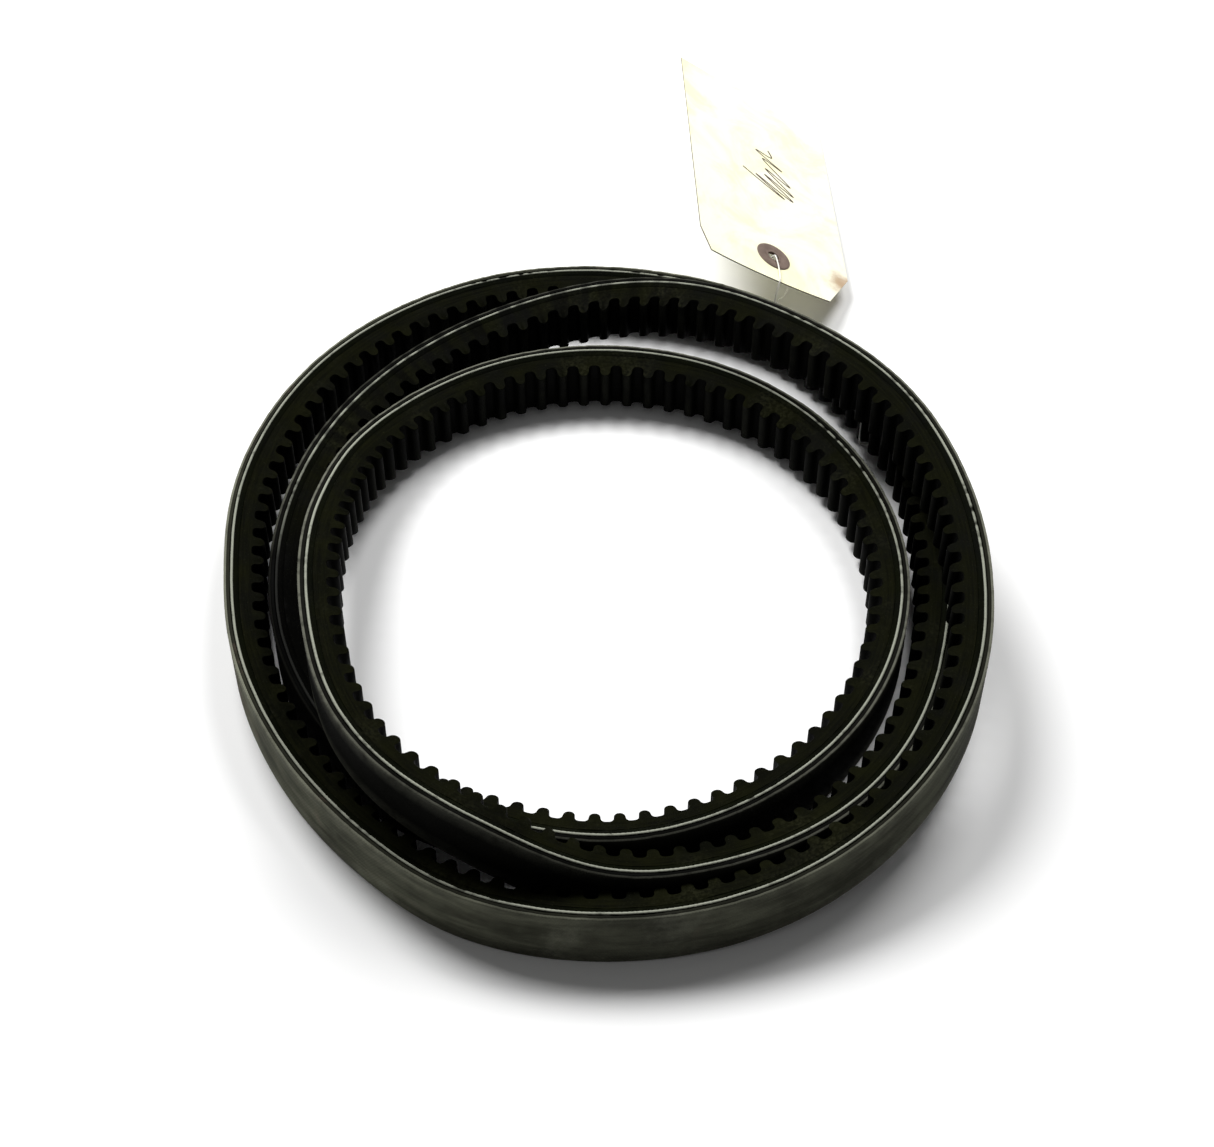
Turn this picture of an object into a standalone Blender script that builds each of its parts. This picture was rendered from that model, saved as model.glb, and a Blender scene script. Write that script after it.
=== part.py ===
"""Endless raw-edge cogged V-belt, coiled into three turns and lying on its edge,
with a reinforced card tag tied to one strand by a cotton string.

Units are metres, +Z is up, the table is z = 0 and the coil's axis is vertical.
The belt is one closed loop. Its path makes three turns, crosses itself twice and
lies on the table except for two broad humps where one strand climbs over another.
Every ply runs the whole length of the loop.
"""
import math

import bmesh
import bpy
import numpy as np
from mathutils import Matrix, Vector

# ---- driving dimensions -------------------------------------------------
BELT_WIDTH = 0.022            # top width of the V section, stands vertical here
BELT_THICKNESS = 0.013        # back to cog tip
WEDGE_HALF_ANGLE = math.radians(18.0)
EDGE_LAND = 0.0018            # square part of each edge next to the back, the belt rests on it
COG_DEPTH = 0.0040            # tip to root
COG_PITCH_AT_CORD = 0.0086
PLY_GAP = 0.0003

# depth of each ply below the back, inner and outer face
OUTER_FABRIC = (0.0, 0.0007)
INNER_FABRIC = (0.0010, 0.0018)
CORD_BAND = (0.0021, 0.0032)
ADHESION_GUM = (0.0035, 0.0047)
COG_BODY_BACK = 0.0050

# coil path: turn angle in degrees (clockwise from the -X side seen from above),
# radius of the back face from the coil axis and height of the edge, in mm
PATH = (
    # first turn: outermost on the -X side, then under the lifted third turn
    (0, 125.5, 0), (15, 131.5, 0), (30, 139, 0), (45, 147, 0), (60, 153.2, 0), (75, 157, 0),
    (90, 156.5, 0), (105, 153.3, 0), (120, 147.2, 0.5), (135, 137, 1.3), (150, 129, 1.2), (165, 121.5, 0),
    (180, 117.5, 0), (195, 117, 0), (210, 120, 0), (225, 123.8, 0), (240, 125.8, 0), (255, 126, 0.4),
    (270, 125.2, 2.8), (285, 124.1, 15.9), (290, 123.3, 18.9), (300, 120.8, 21.8), (315, 114.5, 24.2),
    (330, 105.5, 24.4),
    (345, 99.4, 23.8),
    # second turn: innermost, on the table, passing under the first
    (360, 96.8, 21.0), (375, 97.8, 14.5), (390, 102.2, 7.5), (405, 106.6, 2.2), (420, 109.6, 0),
    (435, 110.8, 0), (450, 110.8, 0), (465, 110.2, 0), (480, 108.6, 0), (495, 106.2, 0), (510, 103.8, 0),
    (525, 102.1, 0), (540, 101.5, 0), (555, 101.7, 0), (570, 103, 0), (585, 105, 0), (600, 107.3, 0),
    (615, 110, 0), (630, 111.4, 0), (645, 110.3, 0), (652, 110.1, 0), (660, 110.8, 0), (675, 111.1, 0), (690, 110, 0),
    (705, 109.8, 0),
    # third turn: climbs over the first on the +X side, then outermost
    (720, 110.5, 0), (735, 113.2, 0), (750, 117.9, 0), (765, 123.9, 0), (780, 130.1, 0.8), (795, 135, 3.6),
    (810, 136.8, 9.2), (825, 132.2, 16.6), (840, 125, 22), (855, 122.2, 24), (870, 121.5, 24.6),
    (885, 121, 24.6), (900, 122.5, 24.4), (915, 126.8, 23.2), (930, 133.3, 19), (945, 137.6, 12),
    (960, 139.3, 5.2), (975, 139.5, 1.2), (990, 139.0, 0), (1005, 137.8, 0), (1012, 136.0, 0), (1020, 132.6, 0),
    (1035, 127.6, 0), (1050, 124.8, 0), (1065, 124.2, 0),
)
THREE_TURNS = 1080.0

# share of one pitch and share of the cog's depth: flank, rounded shoulder and tip of a cog
COG_OUTLINE = ((0.18, 0.0), (0.27, 0.62), (0.39, 1.0), (0.61, 1.0), (0.73, 0.62), (0.82, 0.0))

# tag: a No. 6 shipping tag
TAG_WIDTH = 0.0667
TAG_LENGTH = 0.1334
TAG_THICKNESS = 0.00045
TAG_CLIPS = {-1: (0.0040, 0.0125), 1: (0.0100, 0.0180)}   # clipped corners: across, along
TAG_HOLE_INSET = 0.0152
TAG_HOLE_RADIUS = 0.0026
TAG_CURL = 0.0016             # rise of the long edges above the middle
PATCH_RADIUS = 0.0073
PATCH_THICKNESS = 0.0003
PATCH_GAP = 0.00012
TAG_HOLE_AT = Vector((0.0652, 0.16263, 0.0212))
TAG_ACROSS = Vector((0.88, 0.007, -0.475))   # along the short edge
TAG_ALONG = Vector((-0.036, 0.998, -0.050))  # from the hole end to the far end
# grid lines of the card, across and along; the cells round the hole are left to the ring
CARD_ACROSS = (-0.024, -0.0145, -0.0065, 0.0065, 0.0145, 0.024)
CARD_ALONG = (-0.0125, 0.0125, 0.032, 0.056, 0.084)
RING_RADIUS = 0.0095
HOLE_SIDES = 24
PATCH_SIDES = 28

STRING_RADIUS = 0.0003
STRING_CLEARANCE = 0.0003
STRING_TIE_ANGLE = 142.0      # turn angle where the string goes round the strand

# coil axis in the row frame, whose origin is the middle of the whole footprint
COIL_AXIS = Vector((0.0019, -0.07074, 0.0))


# ---- helpers ------------------------------------------------------------
def clear_scene():
    for obj in list(bpy.data.objects):
        bpy.data.objects.remove(obj, do_unlink=True)


def material(name, colour, roughness, metallic=0.0):
    mat = bpy.data.materials.new(name)
    mat.use_nodes = True
    bsdf = mat.node_tree.nodes["Principled BSDF"]
    bsdf.inputs["Base Color"].default_value = (*colour, 1.0)
    bsdf.inputs["Roughness"].default_value = roughness
    bsdf.inputs["Metallic"].default_value = metallic
    return mat


def add_body(name, verts, faces, mat):
    mesh = bpy.data.meshes.new(name)
    mesh.from_pydata([tuple(v + COIL_AXIS) for v in verts], [], faces)
    bm = bmesh.new()
    bm.from_mesh(mesh)
    bmesh.ops.triangulate(bm, faces=bm.faces, quad_method="BEAUTY", ngon_method="EAR_CLIP")
    bmesh.ops.recalc_face_normals(bm, faces=bm.faces)
    if bm.calc_volume(signed=True) < 0:
        bmesh.ops.reverse_faces(bm, faces=bm.faces)
    bm.to_mesh(mesh)
    bm.free()
    mesh.materials.append(mat)
    obj = bpy.data.objects.new(name, mesh)
    bpy.context.scene.collection.objects.link(obj)
    return obj


def periodic_spline(x, y, period, at):
    """Cubic spline through the points (x, y), repeating with the period."""
    x = np.asarray(x, float)
    y = np.asarray(y, float)
    n = len(x)
    h = np.diff(np.append(x, x[0] + period))
    slope = np.diff(np.append(y, y[0])) / h
    a = np.zeros((n, n))
    b = np.zeros(n)
    for i in range(n):
        a[i, i - 1] = h[i - 1]
        a[i, i] = 2 * (h[i - 1] + h[i])
        a[i, (i + 1) % n] = h[i]
        b[i] = 6 * (slope[i] - slope[i - 1])
    m = np.linalg.solve(a, b)
    at = np.mod(np.asarray(at, float) - x[0], period) + x[0]
    k = np.clip(np.searchsorted(x, at, side="right") - 1, 0, n - 1)
    k2 = (k + 1) % n
    u = at - x[k]
    w = h[k] - u
    bend = (m[k] * w**3 + m[k2] * u**3) / (6 * h[k])
    left = (y[k] / h[k] - m[k] * h[k] / 6) * w
    right = (y[k2] / h[k] - m[k2] * h[k] / 6) * u
    return bend + left + right


def path_at(angle_deg):
    """Back-face foot point, outward normal and edge height at the turn angles."""
    knots = np.array(PATH, float)
    angle_deg = np.asarray(angle_deg, float)

    def plan(a):
        r = periodic_spline(knots[:, 0], knots[:, 1], THREE_TURNS, a) * 0.001
        p = np.radians(180.0 - a)
        return np.stack([r * np.cos(p), r * np.sin(p)], -1)

    here = plan(angle_deg)
    tangent = plan(angle_deg + 0.25) - plan(angle_deg - 0.25)
    tangent /= np.linalg.norm(tangent, axis=-1, keepdims=True)
    normal = np.stack([-tangent[:, 1], tangent[:, 0]], -1)
    height = np.maximum(periodic_spline(knots[:, 0], knots[:, 2], THREE_TURNS, angle_deg), 0.0) * 0.001
    return here, normal, height


def stations():
    """Two cogs per station, spaced evenly along the cord line."""
    fine = np.linspace(0, THREE_TURNS, 8641)
    p, n, z = path_at(fine)
    depth = 0.5 * (CORD_BAND[0] + CORD_BAND[1])
    line = np.column_stack([p - n * depth, z])
    step = np.linalg.norm(np.diff(line, axis=0), axis=1)
    run = np.concatenate([[0], np.cumsum(step)])
    pairs = int(round(run[-1] / (2 * COG_PITCH_AT_CORD)))
    angles = np.interp(np.arange(pairs) * run[-1] / pairs, run, fine)
    return angles, run[-1]


def section_limits(depth):
    inset = max(0.0, depth - EDGE_LAND) * math.tan(WEDGE_HALF_ANGLE)
    return inset, BELT_WIDTH - inset


def at(base, normal, height, depth, level):
    return Vector((base[0] - normal[0] * depth, base[1] - normal[1] * depth, height + level))


def ply(name, angles, faces_depth, mat):
    p, n, z = path_at(angles)
    outer, inner = faces_depth
    lo0, hi0 = section_limits(outer)
    lo1, hi1 = section_limits(inner)
    verts = []
    for i in range(len(angles)):
        verts += [
            at(p[i], n[i], z[i], outer, lo0),
            at(p[i], n[i], z[i], outer, hi0),
            at(p[i], n[i], z[i], inner, hi1),
            at(p[i], n[i], z[i], inner, lo1),
        ]
    count = len(angles)
    faces = []
    for i in range(count):
        a, b = 4 * i, 4 * ((i + 1) % count)
        for k in range(4):
            k2 = (k + 1) % 4
            faces.append((a + k, a + k2, b + k2, b + k))
    return add_body(name, verts, faces, mat)


def cog_body(name, angles, mat):
    """Compression rubber with two rounded cogs per station."""
    p, n, z = path_at(angles)
    count = len(angles)
    root = BELT_THICKNESS - COG_DEPTH
    profile = [(0.5 * (u + k), root + COG_DEPTH * d) for k in (0, 1) for u, d in COG_OUTLINE]
    verts = []
    row = 2 + 2 * len(profile)
    for i in range(count):
        j = (i + 1) % count
        lo, hi = section_limits(COG_BODY_BACK)
        verts += [at(p[i], n[i], z[i], COG_BODY_BACK, lo), at(p[i], n[i], z[i], COG_BODY_BACK, hi)]
        for u, d in profile:
            lo, hi = section_limits(d)
            for level in (lo, hi):
                a = at(p[i], n[i], z[i], d, level)
                b = at(p[j], n[j], z[j], d, level)
                verts.append(a.lerp(b, u))
    faces = []
    m = len(profile)
    for i in range(count):
        a, b = row * i, row * ((i + 1) % count)
        faces.append((a, a + 1, b + 1, b))
        for k in range(m - 1):
            c = a + 2 + 2 * k
            faces.append((c, c + 2, c + 3, c + 1))
        last = a + 2 + 2 * (m - 1)
        faces.append((last, b + 2, b + 3, last + 1))
        for side in (0, 1):
            loop = [a + side]
            loop += [a + 2 + 2 * k + side for k in range(m)]
            loop += [b + 2 + side, b + side]
            # fan from the back edge keeps every triangle inside the wall
            half = 1 + m // 2
            for k in range(1, half):
                faces.append((loop[0], loop[k], loop[k + 1]))
            faces.append((loop[0], loop[half], loop[-1]))
            for k in range(half, len(loop) - 2):
                faces.append((loop[-1], loop[k], loop[k + 1]))
    return add_body(name, verts, faces, mat)


def tag_frame():
    x = TAG_ACROSS.normalized()
    y = (TAG_ALONG - x * TAG_ALONG.dot(x)).normalized()
    nrm = x.cross(y)
    m = Matrix((x, y, nrm)).transposed().to_4x4()
    m.translation = TAG_HOLE_AT
    return m


def tag_rise(u):
    return TAG_CURL * (abs(u) / (TAG_WIDTH / 2)) ** 2.2


def tag_point(u, v, w):
    """u across, v from the hole towards the far end, w above the middle of the card."""
    return tag_frame() @ Vector((u, v, w + tag_rise(u)))


def circle(radius, sides):
    turns = [2 * math.pi * k / sides for k in range(sides)]
    return [(radius * math.cos(a), radius * math.sin(a)) for a in turns]


def zip_rings(flat, outer, inner):
    """Triangles between two rings of vertices that go round the origin."""
    def turn(v):
        return math.atan2(v.co.y, v.co.x) % (2 * math.pi)

    outer = sorted(outer, key=turn)
    inner = sorted(inner, key=turn)
    steps = [(turn(v), 0, k) for k, v in enumerate(outer)]
    steps += [(turn(v), 1, k) for k, v in enumerate(inner)]
    o, i = len(outer) - 1, len(inner) - 1
    for _, ring, k in sorted(steps):
        if ring == 0:
            flat.faces.new((outer[o], outer[k], inner[i]))
            o = k
        else:
            flat.faces.new((outer[o], inner[k], inner[i]))
            i = k


def card_plan():
    """The flat card with clipped corners and a hole at the origin, as a bmesh."""
    half, near, far = TAG_WIDTH / 2, -TAG_HOLE_INSET, TAG_LENGTH - TAG_HOLE_INSET
    xs = (-half, *CARD_ACROSS, half)
    ys = (near, *CARD_ALONG, far)
    flat = bmesh.new()
    last = len(xs) - 1
    grid = {}
    for i, x in enumerate(xs):
        for j, y in enumerate(ys):
            if i in (0, last) and j == 0:
                continue
            grid[i, j] = flat.verts.new((x, y, 0))
    for i in range(last):
        for j in range(len(ys) - 1):
            if j == 1 and i in (2, 3, 4):
                continue
            square = [(i, j), (i + 1, j), (i + 1, j + 1), (i, j + 1)]
            corners = [grid[c] for c in square if c in grid]
            flat.faces.new(corners)
    hole = [flat.verts.new((x, y, 0)) for x, y in circle(TAG_HOLE_RADIUS, HOLE_SIDES)]
    ring = [flat.verts.new((x, y, 0)) for x, y in circle(RING_RADIUS, HOLE_SIDES)]
    for k in range(HOLE_SIDES):
        k2 = (k + 1) % HOLE_SIDES
        flat.faces.new((hole[k], ring[k], ring[k2], hole[k2]))
    zip_rings(flat, [grid[i, j] for i in (2, 3, 4, 5) for j in (1, 2)], ring)
    for side, outer, inner in ((-1, 0, 1), (1, last, last - 1)):
        grid[outer, 1].co.y = near + TAG_CLIPS[side][1]
        grid[inner, 0].co.x = side * (half - TAG_CLIPS[side][0])
    return flat


def tag_card(mat):
    flat = card_plan()
    flat.verts.index_update()
    points = [(v.co.x, v.co.y) for v in flat.verts]
    sheets = [[v.index for v in f.verts] for f in flat.faces]
    rim = [[v.index for v in e.verts] for e in flat.edges if len(e.link_faces) == 1]
    flat.free()
    n = len(points)
    t = TAG_THICKNESS / 2
    verts = [tag_point(x, y, t) for x, y in points] + [tag_point(x, y, -t) for x, y in points]
    faces = [tuple(f) for f in sheets] + [tuple(k + n for k in reversed(f)) for f in sheets]
    faces += [(a, b, b + n, a + n) for a, b in rim]
    return add_body("tag_card", verts, faces, mat)


def patch(name, side, mat):
    low = TAG_THICKNESS / 2 + PATCH_GAP
    high = low + PATCH_THICKNESS
    verts = []
    for r, h in ((TAG_HOLE_RADIUS, low), (TAG_HOLE_RADIUS, high), (PATCH_RADIUS, high), (PATCH_RADIUS, low)):
        verts += [tag_point(x, y, side * h) for x, y in circle(r, PATCH_SIDES)]
    faces = []
    for ring in range(4):
        a, b = ring * PATCH_SIDES, ((ring + 1) % 4) * PATCH_SIDES
        for k in range(PATCH_SIDES):
            k2 = (k + 1) % PATCH_SIDES
            faces.append((a + k, a + k2, b + k2, b + k))
    return add_body(name, verts, faces, mat)


def beside_strand(angle_deg, off, level):
    """A point off the back face of the strand, at a level above the table."""
    p, n, _ = path_at(np.array([angle_deg]))
    return at(p[0], n[0], 0.0, -off, level)


def string_route():
    """The string's own points, each with the number of pieces of the span after it.

    It starts at its knot behind the strand, runs along the table to the tag, up through
    the hole, over the card's edge, back along the table and once round the strand.
    """
    p, n, z = path_at(np.array([STRING_TIE_ANGLE]))
    off = STRING_RADIUS + STRING_CLEARANCE

    def tie(depth, level):
        return at(p[0], n[0], float(z[0]), depth, level)

    def low(depth):
        return section_limits(depth)[0]

    def high(depth):
        return section_limits(depth)[1]

    hole = tag_point(0, 0, 0)
    up = (tag_frame().to_3x3() @ Vector((0, 0, 1))).normalized()
    tip = BELT_THICKNESS
    return [
        (beside_strand(140.2, 0.0012, 0.0065), 2),
        (beside_strand(138.6, 0.0016, 0.0022), 2),
        (beside_strand(136, 0.0024, 0.0006), 2),
        (beside_strand(131, 0.0032, 0.0004), 2),
        (beside_strand(126, 0.0036, 0.0004), 2),
        (beside_strand(121.5, 0.0046, 0.0008), 2),
        (Vector((0.0675, 0.1464, 0.0048)), 2),
        # slack run under the card, up through the hole
        (Vector((0.0668, 0.1488, 0.0112)), 2),
        (Vector((0.0692, 0.1535, 0.0094)), 2),
        (Vector((0.0716, 0.1588, 0.0102)), 2),
        (Vector((0.0694, 0.1622, 0.0148)), 2),
        (hole - up * 0.0024 + Vector((0.0006, 0.0004, 0)), 2),
        (hole + up * 0.0014 + Vector((0, -0.0006, 0)), 2),
        # over the patch and the card's near edge, then down
        (tag_point(0.0008, -0.0058, 0.0014), 2),
        (tag_point(0.0012, -0.0118, 0.0010), 2),
        (tag_point(0.0010, -0.0158, 0.0004), 2),
        (Vector((0.0656, 0.1452, 0.0165)), 2),
        (Vector((0.0655, 0.1462, 0.0108)), 2),
        (Vector((0.0660, 0.1462, 0.0045)), 2),
        (beside_strand(122.6, 0.0026, 0.0006), 2),
        (beside_strand(127, 0.0018, 0.0004), 2),
        (beside_strand(132, 0.0014, 0.0004), 2),
        (beside_strand(137, 0.0012, 0.0004), 2),
        (beside_strand(140.6, 0.0010, 0.0005), 2),
        # once round the strand
        (tie(0.0002, -off * 1.1), 2),
        (tie(0.0045, low(0.0045) - off), 2),
        (tie(tip - 0.0014, low(tip) - off * 1.5), 3),
        (tie(tip + off, low(tip) + 0.0014), 2),
        (tie(tip + off, high(tip) - 0.0014), 3),
        (tie(tip - 0.0014, high(tip) + off * 1.5), 2),
        (tie(0.0045, high(0.0045) + off), 2),
        (tie(0.0006, BELT_WIDTH + off), 3),
        (tie(-off, BELT_WIDTH - 0.0012), 2),
        (tie(-off, 0.0130), 2),
        (tie(-off - 0.0002, 0.0078), 0),
    ]


def smooth_route(route):
    """Points on a Catmull-Rom curve through the route."""
    points = [p for p, _ in route]
    ends = [points[0], *points, points[-1]]
    out = []
    for i, (_, pieces) in enumerate(route[:-1]):
        p0, p1, p2, p3 = ends[i:i + 4]
        for k in range(pieces):
            t = k / pieces
            out.append(0.5 * (
                2 * p1 + (p2 - p0) * t + (2 * p0 - 5 * p1 + 4 * p2 - p3) * t**2
                + (3 * p1 - p0 - 3 * p2 + p3) * t**3
            ))
    out.append(points[-1])
    return out


def tag_string(mat):
    points = smooth_route(string_route())
    curve = bpy.data.curves.new("tag_string", "CURVE")
    curve.dimensions = "3D"
    curve.bevel_depth = STRING_RADIUS
    curve.bevel_resolution = 2
    curve.use_fill_caps = True
    spline = curve.splines.new("POLY")
    spline.points.add(len(points) - 1)
    for place, point in zip(spline.points, points):
        place.co = (*(point + COIL_AXIS), 1.0)
    curve.materials.append(mat)
    obj = bpy.data.objects.new("tag_string", curve)
    bpy.context.scene.collection.objects.link(obj)
    length = sum((b - a).length for a, b in zip(points, points[1:]))
    print("string", len(points), "points", round(length, 4), "long")
    return obj


def main():
    clear_scene()
    fabric = material("backing_fabric", (0.075, 0.075, 0.068), 0.85)
    gum = material("adhesion_rubber", (0.022, 0.022, 0.02), 0.7)
    cord = material("tensile_cord", (0.72, 0.70, 0.64), 0.8)
    rubber = material("compression_rubber", (0.018, 0.019, 0.016), 0.6)
    card = material("manila_card", (0.80, 0.66, 0.42), 0.75)
    fibre = material("red_fibre", (0.30, 0.17, 0.12), 0.7)
    cotton = material("cotton_string", (0.85, 0.82, 0.75), 0.9)

    angles, length = stations()
    ply("back_fabric_outer", angles, OUTER_FABRIC, fabric)
    ply("back_fabric_inner", angles, INNER_FABRIC, fabric)
    ply("tensile_cord_band", angles, CORD_BAND, cord)
    ply("adhesion_gum", angles, ADHESION_GUM, gum)
    cog_body("cog_body", angles, rubber)
    tag_card(card)
    patch("tag_patch_top", 1, fibre)
    patch("tag_patch_under", -1, fibre)
    tag_string(cotton)
    print("cord length", round(length, 4), "cogs", 2 * len(angles))


main()
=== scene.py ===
import math

import bmesh
import bpy
import numpy as np
from mathutils import Matrix, Vector


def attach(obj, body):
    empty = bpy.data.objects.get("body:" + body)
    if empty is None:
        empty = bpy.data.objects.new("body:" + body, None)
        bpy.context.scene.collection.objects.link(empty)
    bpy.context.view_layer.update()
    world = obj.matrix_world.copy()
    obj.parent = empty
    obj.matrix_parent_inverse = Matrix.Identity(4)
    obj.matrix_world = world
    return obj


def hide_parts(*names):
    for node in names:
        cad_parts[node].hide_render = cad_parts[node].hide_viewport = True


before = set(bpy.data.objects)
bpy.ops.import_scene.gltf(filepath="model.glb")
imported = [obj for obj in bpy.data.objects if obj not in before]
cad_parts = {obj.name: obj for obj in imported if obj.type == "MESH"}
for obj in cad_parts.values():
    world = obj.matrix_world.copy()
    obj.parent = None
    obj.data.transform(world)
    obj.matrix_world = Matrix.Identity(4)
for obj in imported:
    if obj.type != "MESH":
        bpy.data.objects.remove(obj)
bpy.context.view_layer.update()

# ---- the belt's driving dimensions, as in the solids -------------------------------------
MM = 0.001
BELT_WIDTH = 0.022
BELT_THICKNESS = 0.013
WEDGE = math.tan(math.radians(18.0))
EDGE_LAND = 0.0018
COG_DEPTH = 0.0040
COGS = 264
BELT_STATIONS = 8 * COGS
CORD_DEPTH = 0.00265          # middle of the cord line below the back
COIL_AXIS = Vector((0.0019, -0.07074, 0.0))
THREE_TURNS = 1080.0

# turn angle (clockwise from the -X side seen from above, degrees), radius of the back
# face from the coil axis and height of the edge, in mm
PATH = (
    # first turn: outermost on the -X side, then under the lifted third turn
    (0, 125.5, 0), (15, 131.5, 0), (30, 139, 0), (45, 147, 0), (60, 153.2, 0), (75, 157, 0),
    (90, 156.5, 0), (105, 153.3, 0), (120, 147.2, 0.5), (135, 137, 1.3), (150, 129, 1.2),
    (165, 121.5, 0), (180, 117.5, 0), (195, 117, 0), (210, 120, 0), (225, 123.8, 0),
    (240, 125.8, 0), (255, 126, 0.4), (270, 125.2, 2.8), (285, 124.1, 15.9),
    (290, 123.3, 18.9), (300, 120.8, 21.8), (315, 114.5, 24.2), (330, 105.5, 24.4),
    (345, 99.4, 23.8),
    # second turn: innermost, on the table, passing under the first
    (360, 96.8, 21.0), (375, 97.8, 14.5), (390, 102.2, 7.5), (405, 106.6, 2.2),
    (420, 109.6, 0), (435, 110.8, 0), (450, 110.8, 0), (465, 110.2, 0), (480, 108.6, 0),
    (495, 106.2, 0), (510, 103.8, 0), (525, 102.1, 0), (540, 101.5, 0), (555, 101.7, 0),
    (570, 103, 0), (585, 105, 0), (600, 107.3, 0), (615, 110, 0), (630, 111.4, 0),
    (645, 110.3, 0), (652, 110.1, 0), (660, 110.8, 0), (675, 111.1, 0), (690, 110, 0),
    (705, 109.8, 0),
    # third turn: climbs over the first on the +X side, then outermost
    (720, 110.5, 0), (735, 113.2, 0), (750, 117.9, 0), (765, 123.9, 0), (780, 130.1, 0.8),
    (795, 135, 3.6), (810, 136.8, 9.2), (825, 132.2, 16.6), (840, 125, 22),
    (855, 122.2, 24), (870, 121.5, 24.6), (885, 121, 24.6), (900, 122.5, 24.4),
    (915, 126.8, 23.2), (930, 133.3, 19), (945, 137.6, 12), (960, 139.3, 5.2),
    (975, 139.5, 1.2), (990, 139.0, 0), (1005, 137.8, 0), (1012, 136.0, 0),
    (1020, 132.6, 0), (1035, 127.6, 0), (1050, 124.8, 0), (1065, 124.2, 0),
)

# ---- the tag and string, as in the solids ------------------------------------------------
TAG_WIDTH = 0.0667
TAG_LENGTH = 0.1334
TAG_THICKNESS = 0.00045
TAG_CLIPS = {-1: (0.0040, 0.0125), 1: (0.0100, 0.0180)}
TAG_HOLE_INSET = 0.0152
TAG_HOLE_RADIUS = 0.0026
TAG_CURL = 0.0016             # rise of both long edges above the card's plane
TAG_CURL_POWER = 2.2
PATCH_RADIUS = 0.0073
TAG_HOLE_AT = Vector((0.0652, 0.16263, 0.0212))
TAG_ACROSS = Vector((0.88, 0.007, -0.475))
TAG_ALONG = Vector((-0.036, 0.998, -0.050))
STRING_RADIUS = 0.0003
STRING_CLEARANCE = 0.0003
STRING_TIE_ANGLE = 142.0
STRING_LAY = 0.0030           # length in which its plies twist once


# ---- camera: made first ------------------------------------------------------------------
def make_camera():
    """Level camera, looking 47.2 degrees down at the coil from 0.726 m."""
    elevation = math.radians(47.2)
    distance = 0.726
    target = Vector((0.0034, -0.05394, 0.0))
    data = bpy.data.cameras.new("camera")
    data.sensor_width = 36.0
    data.lens = 62.57
    data.clip_start = 0.01
    data.clip_end = 20.0
    cam = bpy.data.objects.new("camera", data)
    bpy.context.scene.collection.objects.link(cam)
    back = Vector((0.0, -math.cos(elevation), math.sin(elevation)))
    cam.location = target + back * distance
    cam.rotation_mode = "QUATERNION"
    cam.rotation_quaternion = (-back).to_track_quat("-Z", "Y")
    bpy.context.scene.camera = cam


# ---- the belt's path ---------------------------------------------------------------------
def periodic_spline(x, y, period, wanted):
    """Cubic spline through the points (x, y), repeating with the period, at wanted."""
    n = len(x)
    h = np.diff(np.append(x, x[0] + period))
    slope = np.diff(np.append(y, y[0])) / h
    a = np.zeros((n, n))
    b = np.zeros(n)
    for i in range(n):
        a[i, i - 1] = h[i - 1]
        a[i, i] = 2 * (h[i - 1] + h[i])
        a[i, (i + 1) % n] = h[i]
        b[i] = 6 * (slope[i] - slope[i - 1])
    m = np.linalg.solve(a, b)
    wanted = np.mod(np.asarray(wanted, float) - x[0], period) + x[0]
    k = np.clip(np.searchsorted(x, wanted, side="right") - 1, 0, n - 1)
    k2 = (k + 1) % n
    u = wanted - x[k]
    w = h[k] - u
    bend = (m[k] * w**3 + m[k2] * u**3) / (6 * h[k])
    return bend + (y[k] / h[k] - m[k] * h[k] / 6) * w + (y[k2] / h[k] - m[k2] * h[k] / 6) * u


def path_at(angle_deg):
    """Back-face foot points, outward normals and edge heights at the turn angles."""
    knots = np.array(PATH, float)
    angle_deg = np.asarray(angle_deg, float)
    aside = 0.25

    def plan(a):
        r = periodic_spline(knots[:, 0], knots[:, 1], THREE_TURNS, a) * MM
        p = np.radians(180.0 - a)
        return np.stack([r * np.cos(p), r * np.sin(p)], -1)

    here = plan(angle_deg)
    tangent = plan(angle_deg + aside) - plan(angle_deg - aside)
    tangent /= np.linalg.norm(tangent, axis=-1, keepdims=True)
    normal = np.stack([-tangent[:, 1], tangent[:, 0]], -1)
    height = periodic_spline(knots[:, 0], knots[:, 2], THREE_TURNS, angle_deg)
    return here, normal, np.maximum(height, 0.0) * MM


def cord_line_table():
    """Turn angles and the run along the cord line up to each, over the three turns."""
    per_degree = 8
    fine = np.linspace(0, THREE_TURNS, per_degree * int(THREE_TURNS) + 1)
    p, n, z = path_at(fine)
    line = np.column_stack([p - n * CORD_DEPTH, z])
    step = np.linalg.norm(np.diff(line, axis=0), axis=1)
    return fine, np.concatenate([[0], np.cumsum(step)])


FINE_ANGLES, FINE_RUN = cord_line_table()
BELT_LENGTH = FINE_RUN[-1]


def angle_at(run):
    """Turn angle in degrees at a run along the cord line."""
    return np.interp(run, FINE_RUN, FINE_ANGLES)


def low(depth):
    """Level of the lower cut edge above the strand's foot, at a depth below the back."""
    return np.maximum(0.0, depth - EDGE_LAND) * WEDGE


def high(depth):
    """Level of the upper cut edge above the strand's foot, at a depth below the back."""
    return BELT_WIDTH - low(depth)


def ramp(value, start, end):
    """0 at the start, 1 at the end and straight between; the end may lie below the start."""
    return np.clip((value - start) / (end - start), 0, 1)


def hump(value, middle, width):
    """1 at the middle, falling off to nothing within about twice the width."""
    return np.exp(-((value - middle) / width) ** 2)


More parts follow.
